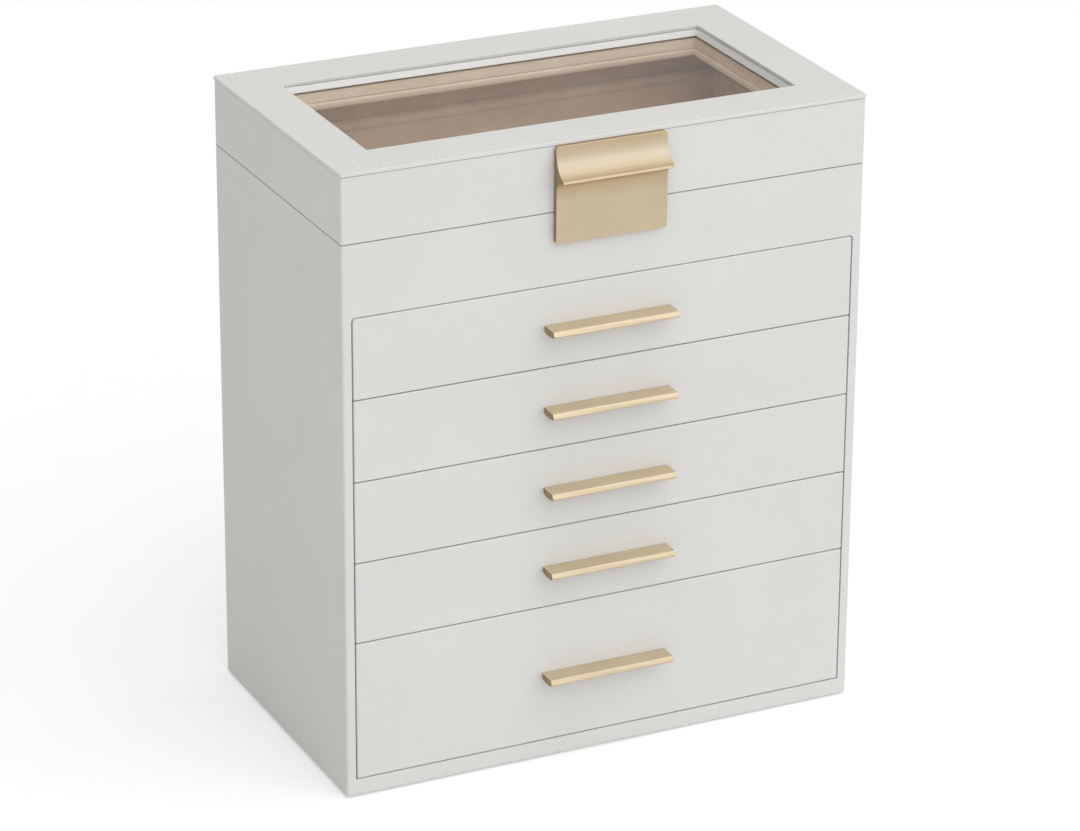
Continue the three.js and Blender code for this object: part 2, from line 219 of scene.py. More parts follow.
def dress(obj, look, slot, body, *replaced):
    """Gives a piece its material and lets it ride on its body; its slot is not used."""
    obj.data.materials.clear()
    obj.data.materials.append(look)
    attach(obj, body)
    if replaced:
        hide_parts(*replaced)
    return obj


def keep_node(node, look, edge=0.0, segments=2):
    """Shows a CAD node with a better material, its edges rounded by a modifier."""
    obj = NODES[node]
    obj.data.materials.clear()
    obj.data.materials.append(look)
    if edge:
        round_edges(obj, edge, segments)
    return obj


def frame_sweep(name, section, low, high):
    """A closed section, drawn as (outward, z), swept round a rectangle with mitred corners."""
    bm = bmesh.new()
    corners = [
        (low[0], low[1], -1, -1),
        (high[0], low[1], 1, -1),
        (high[0], high[1], 1, 1),
        (low[0], high[1], -1, 1),
    ]
    rings = []
    for x, y, sx, sy in corners:
        rings.append([bm.verts.new((x + sx * out, y + sy * out, z)) for out, z in section])
    for i, ring in enumerate(rings):
        following = rings[(i + 1) % len(rings)]
        for k, vertex in enumerate(ring):
            n = (k + 1) % len(ring)
            bm.faces.new((vertex, following[k], following[n], ring[n]))
    bmesh.ops.recalc_face_normals(bm, faces=bm.faces)
    return object_of(name, bm)


def stacked(section, low, high):
    """A bmesh solid of rectangles on each other, grown outwards as a section (outward, z) says."""
    bm = bmesh.new()
    rings = []
    for out, z in section:
        x0, y0 = low[0] - out, low[1] - out
        x1, y1 = high[0] + out, high[1] + out
        rings.append([bm.verts.new((x, y, z)) for x, y in ((x0, y0), (x1, y0), (x1, y1), (x0, y1))])
    for lower, upper in zip(rings, rings[1:]):
        for k in range(4):
            n = (k + 1) % 4
            bm.faces.new((lower[k], lower[n], upper[n], upper[k]))
    bm.faces.new(rings[0])
    bm.faces.new(rings[-1])
    bmesh.ops.recalc_face_normals(bm, faces=bm.faces)
    return bm


# ---- Materials ---------------------------------------------------------------------------------------
class Look:
    """A Principled material under construction, with short ways to add its nodes."""

    def __init__(self, name, **settings):
        self.material = bpy.data.materials.new(name)
        self.material.use_nodes = True
        self.tree = self.material.node_tree
        self.shader = next(n for n in self.tree.nodes if n.type == "BSDF_PRINCIPLED")
        for socket, value in settings.items():
            self.shader.inputs[socket.replace("_", " ")].default_value = value
        self.place = self.node("ShaderNodeTexCoord").outputs["Object"]

    def node(self, kind, **inputs):
        """A node whose sockets, named with _ for a space, are given a value or linked."""
        made = self.tree.nodes.new(kind)
        for socket, value in inputs.items():
            target = made.inputs[socket.replace("_", " ")]
            if isinstance(value, bpy.types.NodeSocket):
                self.tree.links.new(value, target)
            else:
                target.default_value = value
        return made

    def link(self, source, socket):
        """Links a node's output to a socket of the shader."""
        self.tree.links.new(source, self.shader.inputs[socket])

    def scaled_place(self, scale):
        """The object's own coordinates, stretched along its axes."""
        mapping = self.node("ShaderNodeMapping", Vector=self.place)
        mapping.inputs["Scale"].default_value = scale
        return mapping.outputs["Vector"]

    def noise(self, scale, detail=3.0, roughness=0.5, place=None):
        """Cloudy noise, 0 to 1."""
        made = self.node("ShaderNodeTexNoise", Vector=place or self.place, Scale=scale, Detail=detail)
        made.inputs["Roughness"].default_value = roughness
        return made.outputs["Fac"]

    def cells(self, scale, smooth=0.6):
        """Soft cells, like the pebbles of a grain."""
        made = self.node("ShaderNodeTexVoronoi", Vector=self.place, Scale=scale)
        made.feature = "SMOOTH_F1"
        made.inputs["Smoothness"].default_value = smooth
        return made.outputs["Distance"]

    def ramp(self, source, *stops):
        """A colour from a value, by stops of (position, colour)."""
        made = self.node("ShaderNodeValToRGB", Fac=source)
        elements = made.color_ramp.elements
        while len(elements) < len(stops):
            elements.new(0.5)
        for element, (position, colour) in zip(elements, stops):
            element.position = position
            element.color = colour if len(colour) == 4 else (*colour, 1.0)
        return made.outputs["Color"]

    def band(self, source, low, high):
        """A value from 0 to 1, spread between two others."""
        made = self.node("ShaderNodeMapRange", Value=source)
        made.inputs["To Min"].default_value = low
        made.inputs["To Max"].default_value = high
        return made.outputs["Result"]

    def mix(self, mode, factor, a, b):
        """Two colours, mixed as a blend mode says."""
        made = self.tree.nodes.new("ShaderNodeMix")
        made.data_type = "RGBA"
        made.blend_type = mode
        colours = [s for s in made.inputs if s.type == "RGBA"]
        made.inputs[0].default_value = factor
        for socket, value in zip(colours, (a, b)):
            if isinstance(value, bpy.types.NodeSocket):
                self.tree.links.new(value, socket)
            else:
                socket.default_value = value if len(value) == 4 else (*value, 1.0)
        return next(s for s in made.outputs if s.type == "RGBA")

    def add(self, a, b, weight):
        """The sum of a value and a weighted other."""
        made = self.tree.nodes.new("ShaderNodeMath")
        made.operation = "MULTIPLY_ADD"
        self.tree.links.new(b, made.inputs[0])
        made.inputs[1].default_value = weight
        self.tree.links.new(a, made.inputs[2])
        return made.outputs[0]

    def bump(self, height, strength, distance):
        """Gives the shader's normal the relief of a height."""
        made = self.node("ShaderNodeBump", Height=height, Strength=strength, Distance=distance)
        self.link(made.outputs["Normal"], "Normal")


def linear(red, green, blue):
    """An sRGB colour, 0 to 255, as linear light."""
    def one(value):
        share = value / 255
        return share / 12.92 if share <= 0.04045 else ((share + 0.055) / 1.055) ** 2.4
    return (one(red), one(green), one(blue), 1.0)


WHITE = linear(255, 255, 255)


def leatherette(name="white_leatherette", dark=(229, 229, 228), light=(232, 232, 231)):
    """Fine pebbled white leatherette, satin, a shade warmer in the dips of its grain."""
    look = Look(name, Roughness=0.5, Specular_IOR_Level=0.4, Coat_Weight=0.04, Coat_Roughness=0.35)
    grain = look.cells(1500.0)
    fine = look.noise(5200.0, 2.0)
    cloud = look.noise(22.0, 3.0)
    tone = look.ramp(cloud, (0.3, linear(*dark)), (0.7, linear(*light)))
    pores = look.ramp(grain, (0.0, WHITE), (0.9, linear(249, 249, 248)))
    look.link(look.mix("MULTIPLY", 1.0, tone, pores), "Base Color")
    look.link(look.band(look.add(cloud, grain, 0.4), 0.36, 0.54), "Roughness")
    look.bump(look.add(grain, fine, 0.25), 0.14, 0.12 * MM)
    return look.material


def velvet(name="taupe_velvet", dark=(224, 198, 175), light=(242, 219, 196)):
    """Short taupe pile, brushed a little lighter and darker in soft patches."""
    look = Look(name, Roughness=0.95, Specular_IOR_Level=0.15, Sheen_Weight=0.55, Sheen_Roughness=0.45)
    look.shader.inputs["Sheen Tint"].default_value = linear(236, 218, 196)
    pile = look.noise(3600.0, 2.0, 0.7)
    nap = look.noise(38.0, 4.0, 0.55)
    tone = look.ramp(nap, (0.32, linear(*dark)), (0.68, linear(*light)))
    speck = look.ramp(pile, (0.25, linear(226, 224, 222)), (0.75, WHITE))
    look.link(look.mix("MULTIPLY", 1.0, tone, speck), "Base Color")
    look.link(look.band(nap, 0.86, 1.0), "Roughness")
    look.bump(pile, 0.5, 0.25 * MM)
    return look.material


PLATING = ((228, 210, 178), (233, 216, 187))


def gold(name="champagne_gold", tone=(1.0, 1.0, 1.0), painted_light_by_height=None):
    """Champagne plating with fine brush lines along X, with painted shade all over by a tone, or painted
    shade and painted highlight by height.
    """
    look = Look(name, Metallic=1.0, Roughness=0.4, Coat_Weight=0.6, Coat_Roughness=0.45)
    lines = look.noise(1.0, 4.0, 0.6, look.scaled_place((30.0, 6000.0, 6000.0)))
    haze = look.noise(60.0, 2.0)
    # A tone below white darkens the plating all over: painted shade on the sawn ends.
    dark, light = [tuple(t * v for t, v in zip(tone, linear(*c))) for c in PLATING]
    plating = look.ramp(haze, (0.3, dark), (0.7, light))
    # Painted light: a ramp by height multiplies the plating, painting shade under the clasp's lip and
    # highlight in its hollow.
    if painted_light_by_height:
        lowest, highest = painted_light_by_height[0][0], painted_light_by_height[-1][0]
        height = look.node("ShaderNodeSeparateXYZ", Vector=look.place).outputs["Z"]
        share = look.node("ShaderNodeMapRange", Value=height)
        share.inputs["From Min"].default_value = lowest
        share.inputs["From Max"].default_value = highest
        stops = [((z - lowest) / (highest - lowest), linear(*colour)) for z, colour in painted_light_by_height]
        plating = look.mix("MULTIPLY", 1.0, plating, look.ramp(share.outputs["Result"], *stops))
    streak = look.ramp(lines, (0.3, linear(240, 238, 234)), (0.7, WHITE))
    look.link(look.mix("MULTIPLY", 1.0, plating, streak), "Base Color")
    look.link(look.band(look.add(lines, haze, 0.4), 0.36, 0.52), "Roughness")
    look.bump(lines, 0.1, 0.05 * MM)
    return look.material


def steel():
    """Plain steel with faint drawing marks."""
    look = Look("plain_steel", Metallic=1.0, Roughness=0.35)
    lines = look.noise(900.0, 3.0)
    tone = look.ramp(lines, (0.3, linear(182, 184, 187)), (0.7, linear(206, 207, 209)))
    look.link(tone, "Base Color")
    look.link(look.band(lines, 0.26, 0.44), "Roughness")
    look.bump(lines, 0.08, 0.05 * MM)
    return look.material


def lined_board():
    """Beige paper over thin board, with faint fibres."""
    look = Look("paper_lined_board", Roughness=0.8, Specular_IOR_Level=0.25)
    fibres = look.noise(1.0, 5.0, 0.6, look.scaled_place((260.0, 1900.0, 1900.0)))
    cloud = look.noise(30.0, 3.0)
    tone = look.ramp(cloud, (0.3, linear(196, 181, 162)), (0.7, linear(204, 190, 171)))
    thread = look.ramp(fibres, (0.3, linear(240, 238, 234)), (0.7, WHITE))
    look.link(look.mix("MULTIPLY", 1.0, tone, thread), "Base Color")
    look.link(look.band(cloud, 0.72, 0.86), "Roughness")
    look.bump(fibres, 0.2, 0.08 * MM)
    return look.material


def felt():
    """Grey felt with short loose fibres."""
    look = Look("grey_felt", Roughness=0.95, Specular_IOR_Level=0.1, Sheen_Weight=0.3)
    fibres = look.noise(1400.0, 5.0, 0.7)
    tone = look.ramp(fibres, (0.3, linear(120, 112, 104)), (0.7, linear(150, 141, 131)))
    look.link(tone, "Base Color")
    look.bump(fibres, 0.6, 0.3 * MM)
    return look.material


def thread():
    """White sewing thread."""
    look = Look("white_thread", Roughness=0.7, Specular_IOR_Level=0.3)
    twist = look.noise(4200.0, 2.0)
    tone = look.ramp(twist, (0.3, linear(229, 229, 228)), (0.7, linear(238, 238, 237)))
    look.link(tone, "Base Color")
    look.bump(twist, 0.5, 0.1 * MM)
    return look.material


def glass():
    """A clear pane that lets lamps through to what it covers, with the faintest haze of wiping."""
    look = Look("clear_glass", Roughness=0.02, IOR=1.2)
    look.shader.inputs["Transmission Weight"].default_value = 1.0
    wipe = look.noise(1.0, 3.0, 0.5, look.scaled_place((14.0, 60.0, 14.0)))
    look.link(look.band(wipe, 0.0, 0.006), "Roughness")
    tint = look.ramp(wipe, (0.3, linear(252, 253, 252)), (0.7, WHITE))
    look.link(tint, "Base Color")
    output = next(n for n in look.tree.nodes if n.type == "OUTPUT_MATERIAL")
    clear = look.node("ShaderNodeBsdfTransparent")
    path = look.node("ShaderNodeLightPath")
    mixed = look.node("ShaderNodeMixShader", Fac=path.outputs["Is Shadow Ray"])
    look.tree.links.new(look.shader.outputs[0], mixed.inputs[1])
    look.tree.links.new(clear.outputs[0], mixed.inputs[2])
    look.tree.links.new(mixed.outputs[0], output.inputs["Surface"])
    return look.material


LEATHERETTE = leatherette()
# Painted light: a lighter copy of the leatherette for the window's reveal, so that it looks lit.
REVEAL_LIT_LEATHERETTE = leatherette("reveal_leatherette_painted_light", (237, 237, 236), (241, 241, 240))
VELVET = velvet()
# Painted light: a lighter copy of the velvet for the window's trim, so that it looks lit.
LIT_VELVET = velvet("beige_velvet_painted_light", (240, 218, 194), (249, 229, 206))
GOLD = gold()
# Painted shade: a darker copy of the gold for the sawn ends of the clasp and pulls.
GOLD_SHADED_END = gold("champagne_gold_painted_shade_end", (0.48, 0.43, 0.29))
STEEL = steel()
BOARD = lined_board()
FELT = felt()
THREAD = thread()
GLASS = glass()


# ---- Case --------------------------------------------------------------------------------------------
RAIL_UNDERCUT = 6.0 * MM   # how far the rail's inner face is cleared below its underside
PAPER = 0.1 * MM           # the bay's walls are this much further out behind the leatherette
CASE_PANELS = ("left_side_panel", "right_side_panel", "front_rail", "base_panel")


def make_case():
    """One wrapped shell for the case's panels, since the leatherette runs over their joints."""
    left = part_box("left_side_panel")
    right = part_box("right_side_panel")
    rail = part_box("front_rail")
    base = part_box("base_panel")
    inner_left, inner_right = left[1].x, right[0].x
    front_y, back_y = left[0].y, right[1].y
    outline = rounded_outline((left[0].x, front_y), (right[1].x, back_y), [CORNER] * 4)
    case = object_of("case_wrap", prism(outline, left[0].z, left[1].z + SEAM_CLOSING, "z"))

    bay_radii = [SMALL, SMALL, OPENING_CORNER, OPENING_CORNER]
    bay = rounded_outline((inner_left, base[1].z), (inner_right, rail[0].z), bay_radii)
    inside_low = (inner_left - PAPER, base[1].z - PAPER)
    bay_inside = rounded_outline(inside_low, (inner_right + PAPER, rail[0].z), bay_radii)
    far_corner = (inner_right, back_y + PAST, left[1].z + PAST)
    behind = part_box("compartment_floor")[1].y + SMALL
    combine(
        case,
        "DIFFERENCE",
        prism(bay, front_y - PAST, front_y + BAY_RETURN, "y"),
        prism(bay_inside, front_y + BAY_RETURN - SMALL, back_y + PAST, "y"),
        brick((inner_left, rail[1].y, rail[0].z - RAIL_UNDERCUT), far_corner),
        brick((inner_left, behind, left[0].z - PAST), far_corner),
    )
    round_edges(case, WRAP_EDGE, 4)
    settle(case)
    dress(case, LEATHERETTE, "leatherette", "case", *CASE_PANELS)
    bay_low = (inner_left, front_y + BAY_RETURN, base[1].z)
    bay_high = (inner_right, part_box("back_panel")[0].y, rail[0].z)
    line_bay(case, bay_low, bay_high)


def line_bay(case, low, high):
    """Lines the drawer bay with paper behind the leatherette that is turned into it."""
    case.data.materials.append(BOARD)
    for face in case.data.polygons:
        middle = face.center
        across = low[0] - SMALL < middle.x < high[0] + SMALL
        inside = low[1] < middle.y < high[1] + SMALL
        between = low[2] - SMALL < middle.z < high[2] + SMALL
        if across and inside and between:
            face.material_index = 1


def dress_case_boards():
    """Dresses the case's boards, felt and magnet, which are the CAD solids."""
    keep_node("back_panel", LEATHERETTE, BACK_EDGE, 3)
    keep_node("base_felt", FELT, FELT_EDGE)
    keep_node("compartment_floor", BOARD, FLOOR_EDGE)
    for node in NODES:
        if node.startswith("drawer_shelf"):
            keep_node(node, BOARD, SHELF_EDGE)
    keep_node("catch_magnet", STEEL, STEEL_EDGE)


# ---- Top compartment ---------------------------------------------------------------------------------
RIM_BEAD = 1.2 * MM
RIM_INSET = 0.6 * MM   # from the seam up to the bead, and from the bead up to the rim
LINER_WALL = 2.0 * MM
LINER_FLOOR = 1.5 * MM
LINER_EDGE = 0.8 * MM


def half_round(reach, low, high, steps=8):
    """Points of a half-round bead that bulges inwards between two heights, from top to bottom."""
    middle, half = (low + high) / 2, (high - low) / 2
    turns = [math.pi * k / steps for k in range(steps + 1)]
    return [(-reach * math.sin(t), middle + half * math.cos(t)) for t in turns]


def make_compartment():
    """The velvet liner with its rim bead, and the divider."""
    low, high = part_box("compartment_liner")
    liner = object_of("compartment_velvet", brick(low, high))
    hollow_low = (low.x + LINER_WALL, low.y + LINER_WALL, low.z + LINER_FLOOR)
    hollow_high = (high.x - LINER_WALL, high.y - LINER_WALL, high.z + LINER_WALL)
    combine(liner, "DIFFERENCE", brick(hollow_low, hollow_high))
    round_edges(liner, LINER_EDGE)
    dress(liner, VELVET, "velvet", "case", "compartment_liner")

    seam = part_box("left_side_panel")[1].z
    bottom, top = seam + RIM_INSET, high.z - RIM_INSET
    section = half_round(RIM_BEAD, bottom, top)
    section += [(LINER_WALL / 2, bottom), (LINER_WALL / 2, top)]
    bead = frame_sweep("compartment_rim_bead", section, hollow_low, hollow_high)
    round_edges(bead, BEAD_EDGE, 1, 60)
    dress(bead, VELVET, "velvet", "case")
    keep_node("compartment_divider", VELVET, DIVIDER_EDGE, 4)


ROLL_COUNT = 4
ROLL_SHY = 1.2 * MM      # how much smaller than its CAD solid a roll starts
ROLL_STEP = 2.0 * MM
ROLL_VOXEL = 1.9 * MM
ROLL_SWELL = 0.9 * MM    # how far the cloth may move
ROLL_FOOT = 1.2 * MM     # the height of the strip that stays on the floor
CLOTH_FRAMES = 20


def grid_roll(length, width, height, step):
    """A closed half-round roll standing on z 0 along X, as an even mesh that cloth can move."""
    radius = width / 2
    straight = height - radius
    arc_steps = round(math.pi * radius / step)
    side_steps = max(1, round(straight / step))
    base_steps = round(width / step)
    outline = [(-radius + width * k / base_steps, 0.0) for k in range(base_steps)]
    outline += [(radius, straight * k / side_steps) for k in range(side_steps)]
    for k in range(arc_steps):
        turn = math.pi * k / arc_steps
        outline.append((radius * math.cos(turn), straight + radius * math.sin(turn)))
    outline += [(-radius, straight * (1 - k / side_steps)) for k in range(side_steps)]
    return prism(outline, -length / 2, length / 2, "x")


def make_ring_rolls():
    """Velvet over foam: each roll is remeshed and blown up a little as cloth."""
    for index in range(1, ROLL_COUNT + 1):
        node = f"ring_roll_{index}"
        low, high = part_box(node)
        size = high - low
        middle = (low + high) / 2
        start = grid_roll(size.x - ROLL_SHY, size.y - ROLL_SHY, size.z - ROLL_SHY, ROLL_STEP)
        roll = object_of(f"{node}_velvet", start)
        remesh = roll.modifiers.new("remesh", "REMESH")
        remesh.mode = "VOXEL"
        remesh.voxel_size = ROLL_VOXEL
        settle(roll)
        rest = [v.co.copy() for v in roll.data.vertices]
        puff(roll, rest, ROLL_SWELL)
        roll.location = (middle.x, middle.y, low.z + SMALL)
        bpy.context.view_layer.update()
        roll.data.transform(roll.matrix_world)
        roll.matrix_world = Matrix.Identity(4)
        finer = roll.modifiers.new("finer", "SUBSURF")
        finer.levels = finer.render_levels = 1
        settle(roll)
        shade_smooth(roll)
        dress(roll, VELVET, "velvet", "case", node)


def puff(obj, rest, cap):
    """Blows a closed mesh up as cloth, with each point held within a cap of where it was."""
    pins = obj.vertex_groups.new(name="base")
    lowest = min(v.z for v in rest)
    pins.add([i for i, v in enumerate(rest) if v.z < lowest + ROLL_FOOT], 1.0, "REPLACE")
    cloth = obj.modifiers.new("cloth", "CLOTH")
    settings = cloth.settings
    settings.quality = 6
    settings.mass = 0.2
    settings.tension_stiffness = 15
    settings.compression_stiffness = 15
    settings.bending_stiffness = 1.5
    settings.use_pressure = True
    settings.uniform_pressure_force = 4.0
    settings.vertex_group_mass = "base"
    settings.effector_weights.gravity = 0.0
    cloth.collision_settings.use_collision = False
    scene = bpy.context.scene
    for step in range(1, CLOTH_FRAMES + 1):
        scene.frame_set(step)
    settle(obj)
    for vertex, start in zip(obj.data.vertices, rest):
        moved = vertex.co - start
        if moved.length > cap:
            vertex.co = start + moved.normalized() * cap
    obj.vertex_groups.clear()
    scene.frame_set(1)


# ---- Hinges ------------------------------------------------------------------------------------------
SCREW_SHARES = (0.22, 0.78)   # the screws' places along a leaf
SCREW_INSET = 3.2 * MM
SCREW_RADIUS = 1.7 * MM
SCREW_RISE = 0.25 * MM
SCREW_PROFILE = ((1.0, 0.0), (0.93, 0.7), (0.8, 1.0))   # shares of the radius and of the rise
SCREW_STEPS = 20


def screw_head(bm, middle, facing):
    """A flat countersunk head, turned at random."""
    turn = Matrix.Rotation(random.uniform(0, math.pi), 4, "Z")
    flip = Matrix.Rotation(0 if facing > 0 else math.pi, 4, "X")
    place = Matrix.Translation(middle) @ flip @ turn
    steps = SCREW_STEPS
    loops = []
    for wide, high in SCREW_PROFILE:
        ring = ring_outline((0.0, 0.0), SCREW_RADIUS * wide, steps)
        loops.append([bm.verts.new(place @ Vector((x, y, SCREW_RISE * high))) for x, y in ring])
    for lower, upper in zip(loops, loops[1:]):
        for k in range(steps):
            n = (k + 1) % steps
            bm.faces.new((lower[k], lower[n], upper[n], upper[k]))
    bm.faces.new(loops[-1])
    bm.faces.new(list(reversed(loops[0])))


def make_hinges():
    """Two butt hinges: a leaf in the case and one in the lid, with screw heads, and a pin."""
    for side in ("left", "right"):
        for leaf, body, facing in (("case_leaf", "case", 1), ("lid_leaf", "lid", -1)):
            node = f"{side}_hinge_{leaf}"
            keep_node(node, GOLD, HINGE_EDGE)
            low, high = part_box(node)
            if facing > 0:
                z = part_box("left_side_panel")[1].z
            else:
                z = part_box("lid_wall_ring")[0].z
            bm = bmesh.new()
            for share in SCREW_SHARES:
                x = low.x + (high.x - low.x) * share
                screw_head(bm, Vector((x, low.y + SCREW_INSET, z)), facing)
            heads = object_of(f"{node}_screws", bm)
            round_edges(heads, SCREW_EDGE, 1)
            dress(heads, STEEL, "steel", body)
        keep_node(f"{side}_hinge_pin", GOLD, STEEL_EDGE)


# ---- Lid ---------------------------------------------------------------------------------------------
LEAF_RECESS = 1.1 * MM     # the depth of the wall's cut-out over a hinge leaf
LINING_SKIN = 0.5 * MM     # the thickness of the velvet inside the walls
LINING_INSET = 0.6 * MM
REVEAL_DEPTH = 14.5 * MM   # how far the reveal reaches under the sheet
WINDOW_MARGIN = 6.0 * MM   # how far the frame overlaps the glass
GLASS_SEAT = 6.3 * MM      # the same in the trim, with room round the glass
GLASS_BEDDING = 0.1 * MM   # the trim stops this far below the glass
TRIM_BEAD = 0.8 * MM       # how far the trim's bead bulges into the window
TRIM_BEAD_TOP = 3.2 * MM   # from the trim's lower face up to its bead's top
TRIM_GROOVE = 0.5 * MM
STITCH_HALF_SIZE = Vector((1.25, 0.32, 0.2)) * MM
STITCH_SLANT = math.radians(14)


def make_lid_walls():
    """The lid's four walls as one wrapped ring, with its velvet lining."""
    low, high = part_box("lid_wall_ring")
    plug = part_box("glass_retainer")
    inner_low = (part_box("left_side_panel")[1].x, plug[0].y - SMALL)
    inner_high = (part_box("right_side_panel")[0].x, plug[1].y + SMALL)
    outline = rounded_outline((low.x, low.y), (high.x, high.y), [CORNER] * 4)
    walls = object_of("lid_wall_wrap", prism(outline, low.z - SEAM_CLOSING, high.z - SHEET_GROOVE, "z"))
    tools = [brick((*inner_low, low.z - PAST), (*inner_high, high.z + PAST))]
    for side in ("left", "right"):
        leaf_low, leaf_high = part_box(f"{side}_hinge_lid_leaf")
        corner_low = (leaf_low.x - SMALL, leaf_low.y - SMALL, low.z - PAST)
        corner_high = (leaf_high.x + SMALL, high.y + PAST, low.z + LEAF_RECESS)
        tools.append(brick(corner_low, corner_high))
    combine(walls, "DIFFERENCE", *tools)
    round_edges(walls, WRAP_EDGE, 4)
    dress(walls, LEATHERETTE, "leatherette", "lid", "lid_wall_ring")

    skin = LINING_SKIN
    block = brick((*inner_low, low.z + LINING_INSET), (*inner_high, plug[0].z))
    lining = object_of("lid_wall_velvet", block)
    hollow_low = (inner_low[0] + skin, inner_low[1] + skin, low.z - PAST)
    hollow_high = (inner_high[0] - skin, inner_high[1] - skin, plug[0].z + PAST)
    combine(lining, "DIFFERENCE", brick(hollow_low, hollow_high))
    round_edges(lining, LID_LINING_EDGE, 2)
    dress(lining, VELVET, "velvet", "lid")


def window_corners():
    """The window's opening in plan, from the glass and the margin that the frame holds it by."""
    low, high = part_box("glass_pane")
    margin = WINDOW_MARGIN
    return (low.x + margin, low.y + margin), (high.x - margin, high.y - margin)


def weigh_edges(obj, share):
    """Bevel weights: what the function share says for the middle of each sharp edge."""
    bm = bmesh.new()
    bm.from_mesh(obj.data)
    bmesh.ops.remove_doubles(bm, verts=bm.verts, dist=WELD_REACH)
    layer = bm.edges.layers.float.new("bevel_weight_edge")
    for edge in bm.edges:
        if len(edge.link_faces) == 2 and edge.calc_face_angle() > math.radians(SHARP):
            edge[layer] = share((edge.verts[0].co + edge.verts[1].co) / 2)
    bm.to_mesh(obj.data)
    bm.free()
    obj.modifiers["bevel"].limit_method = "WEIGHT"


def make_lid_top():
    """The sheet on top of the lid, softly rounded, and the sloped reveal of its window."""
    low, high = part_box("lid_top_frame")
    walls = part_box("lid_wall_ring")
    window_low, window_high = window_corners()
    seam_z = walls[1].z + SMALL / 2
    sheet_low = (low.x - SHEET_PROUD, low.y - SHEET_PROUD)
    sheet_high = (high.x + SHEET_PROUD, high.y + SHEET_PROUD)
    outline = rounded_outline(sheet_low, sheet_high, [SHEET_CORNER] * 4, 8)
    sheet = object_of("lid_top_sheet", prism(outline, seam_z, high.z, "z"))
    hole = brick((*window_low, low.z - PAST), (*window_high, high.z + PAST))
    combine(sheet, "DIFFERENCE", hole)
    round_edges(sheet, SHEET_EDGE, 6)
    weigh_edges(sheet, lambda middle: 1.0 if middle.z > seam_z + SMALL else 0.25)
    dress(sheet, LEATHERETTE, "leatherette", "lid", "lid_top_frame")

    top = seam_z - SHEET_SEAM
    section = [(-REVEAL_SLOPE, low.z), (0.0, top), (REVEAL_DEPTH, top), (REVEAL_DEPTH, low.z)]
    reveal = frame_sweep("window_reveal", section, window_low, window_high)
    round_edges(reveal, SMALL, 3)
    # The reveal wears the lighter, painted-light copy of the leatherette.
    dress(reveal, REVEAL_LIT_LEATHERETTE, "leatherette", "lid")
    make_stitching(low, high)


def make_stitching(low, high):
    """One row of slanted stitches inside the lid's edges."""
    bm = bmesh.new()
    x0, x1 = low.x + STITCH_INSET, high.x - STITCH_INSET
    y0, y1 = low.y + STITCH_INSET, high.y - STITCH_INSET
    sides = [((x0, y0), (x1, y0)), ((x1, y0), (x1, y1)), ((x1, y1), (x0, y1)), ((x0, y1), (x0, y0))]
    for start, end in sides:
        start, end = Vector((*start, high.z)), Vector((*end, high.z))
        run = end - start
        count = round(run.length / STITCH_PITCH)
        heading = math.atan2(run.y, run.x)
        for k in range(count):
            middle = start + run * (k + 0.5) / count
            place = Matrix.Translation(middle) @ Matrix.Rotation(heading + STITCH_SLANT, 4, "Z")
            place @= Matrix.Diagonal((*STITCH_HALF_SIZE, 1.0))
            bmesh.ops.create_uvsphere(bm, u_segments=10, v_segments=6, radius=1.0, matrix=place)
    stitches = object_of("lid_top_stitching", bm)
    shade_smooth(stitches)
    dress(stitches, THREAD, "leatherette", "lid")


def make_window():
    """The glass, and the velvet-covered board below it, with a round bead at its opening's lower edge."""
    keep_node("glass_pane", GLASS)
    low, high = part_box("glass_retainer")
    window_low, window_high = window_corners()
    glass_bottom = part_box("glass_pane")[0].z - GLASS_BEDDING
    bead_top = low.z + TRIM_BEAD_TOP
    bead = reversed(half_round(TRIM_BEAD, low.z - TRIM_BEAD, bead_top))
    foot = -REVEAL_SLOPE - TRIM_SLOPE
    section = [(foot - 0.3 * TRIM_BEAD, low.z - PAST)]
    section += [(foot + out, z) for out, z in bead]
    section += [(foot + TRIM_GROOVE, bead_top), (foot, bead_top + TRIM_GROOVE)]
    section += [(-REVEAL_SLOPE, glass_bottom), (GLASS_SEAT, glass_bottom)]
    section += [(GLASS_SEAT, high.z + PAST)]
    trim = object_of("glass_retainer_velvet", brick(low, high))
    combine(trim, "DIFFERENCE", stacked(section, window_low, window_high))
    round_edges(trim, TRIM_EDGE, 2, 50)
    # The trim wears the lighter, painted-light copy of the velvet.
    dress(trim, LIT_VELVET, "velvet", "lid", "glass_retainer")


# ---- Clasp and pulls ---------------------------------------------------------------------------------
# Faces that point past this along X get painted shade, a darker copy of the gold.
END_FACING = 0.97         # a face that points this much along X is a sawn end
SHARP_GOLD = 38           # degrees
CLASP_PLATE = 3.0 * MM
CLASP_LIP = 1.1 * MM
CLASP_LIP_DROP = 14.5 * MM   # from the clasp's top down to its lip
CLASP_UNDERCUT = 21.5 * MM   # and down to where the hollow under the lip ends
CLASP_CORNER = 1.6 * MM
MAGNET_ROOM = 0.2 * MM
PULL_NOSE = 1.0 * MM
PULL_THICKNESS = 2.9 * MM
PULL_BELLY = 1.5 * MM
PULL_CORNER = 0.6 * MM


def bend(start, control, end, steps=18):
    """Points of a quadratic curve, without its first."""
    points = []
    for k in range(1, steps + 1):
        t = k / steps
        shares = ((1 - t) ** 2, 2 * t * (1 - t), t * t)
        axes = zip(start, control, end)
        points.append(tuple(sum(w * v for w, v in zip(shares, axis)) for axis in axes))
    return points


def paint_shade_on_ends(obj):
    """Gives the sawn ends of an extruded profile a darker copy of the gold: painted shade."""
    obj.data.materials.append(GOLD_SHADED_END)
    for face in obj.data.polygons:
        if abs(face.normal.x) > END_FACING:
            face.material_index = 1


